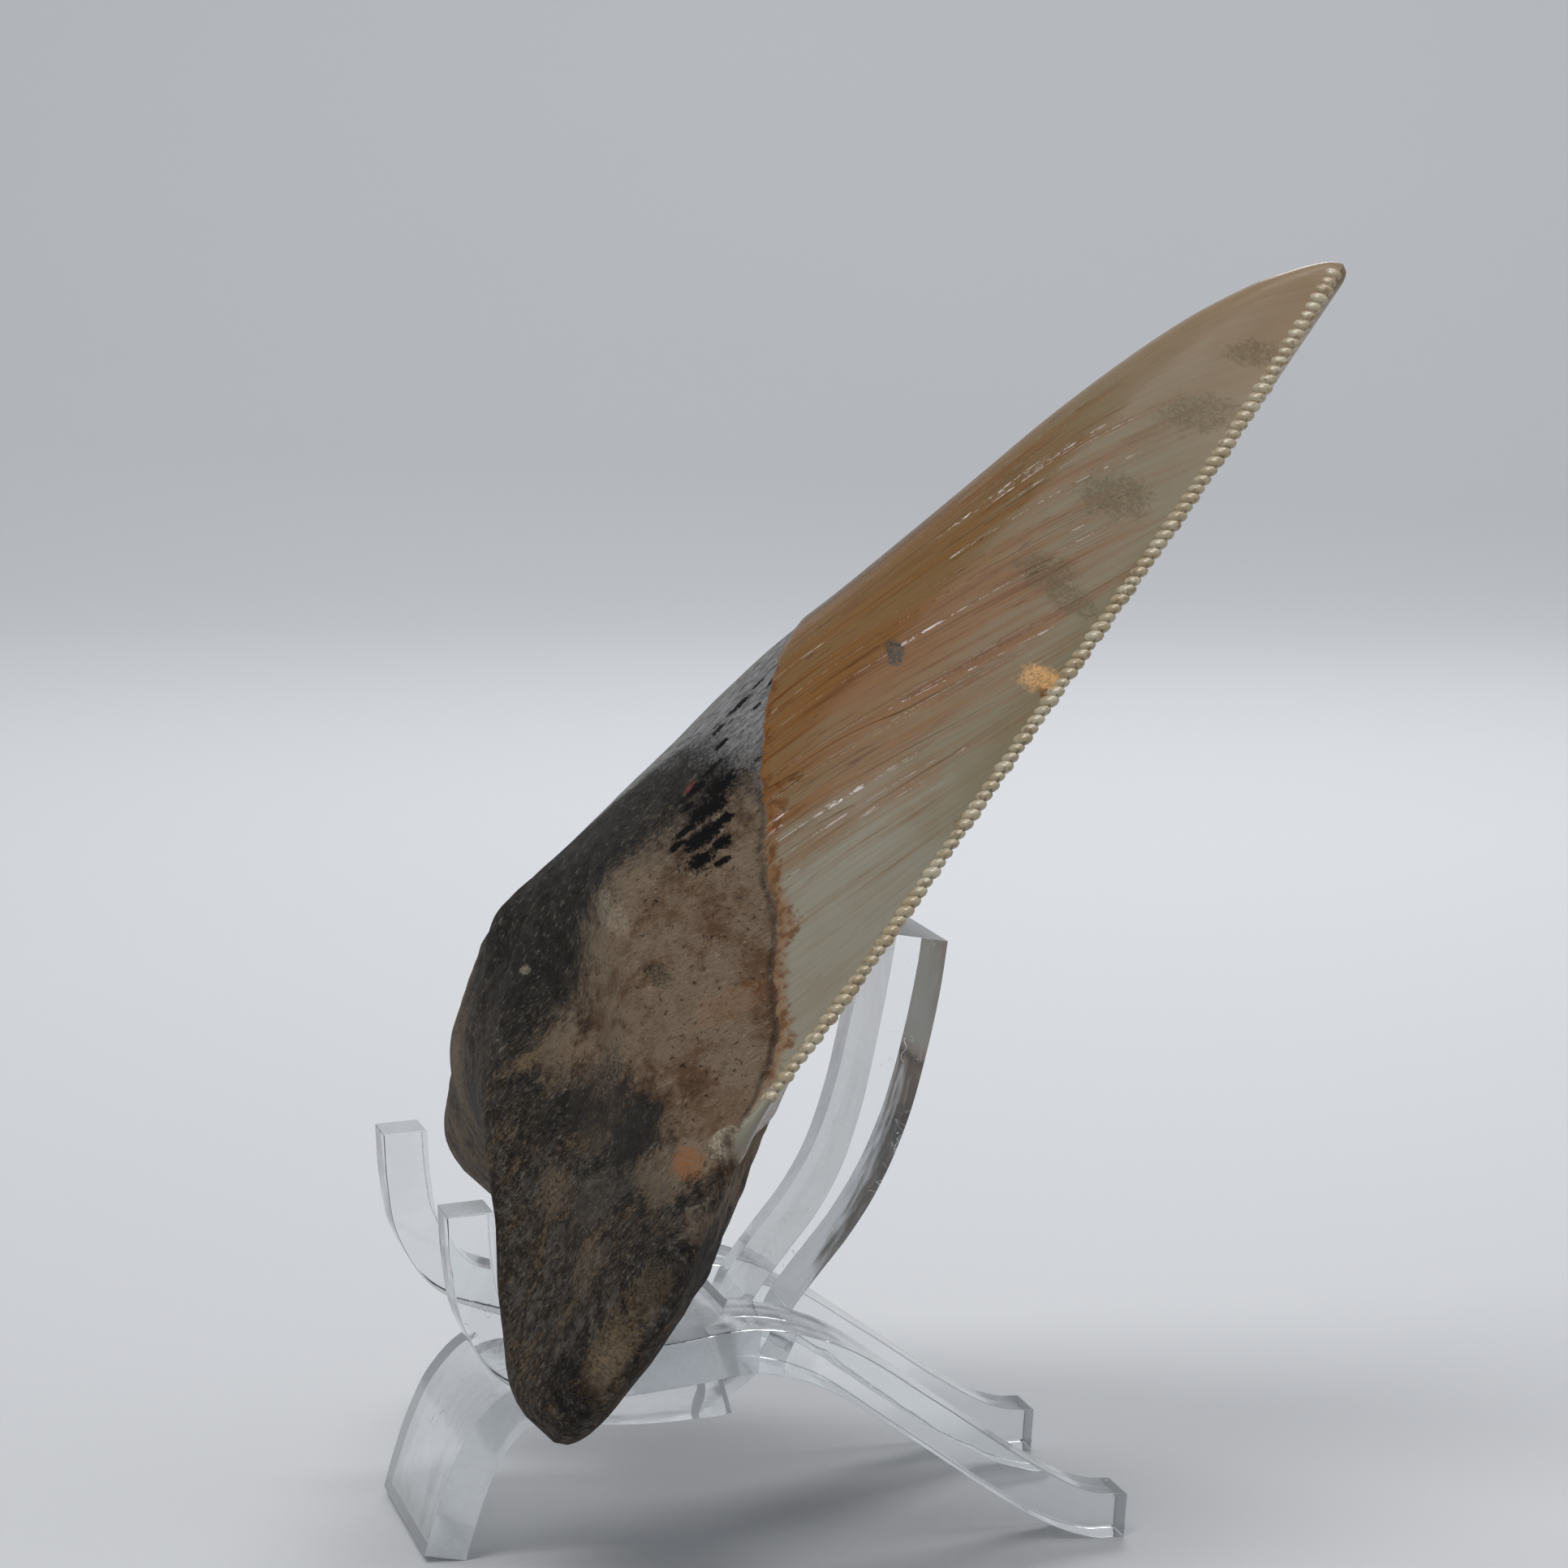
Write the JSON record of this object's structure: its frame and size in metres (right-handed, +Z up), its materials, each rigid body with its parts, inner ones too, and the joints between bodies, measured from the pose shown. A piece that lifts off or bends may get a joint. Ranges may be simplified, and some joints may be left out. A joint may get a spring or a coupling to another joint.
{
  "type": "megalodon tooth on stand",
  "caption": "Fossil shark tooth with finely serrated edges and a lobed root, leaning back on a clear easel stand.",
  "frame": {"origin": "on the table, under the middle of the whole object", "axes": "+Z up; +X from the stand's hooks towards its back arm, the way the tooth's tip leans; +Y across the stand"},
  "size_m": [0.0854, 0.0922, 0.1171],
  "materials": {
    "fossil": "satin enamel over matt, mottled root",
    "clear_plastic": "clear, moulded"
  },
  "bodies": {
    "root": {"tooth": "fossil", "stand_cradle": "clear_plastic", "stand_arm": "clear_plastic"}
  },
  "joints": []
}
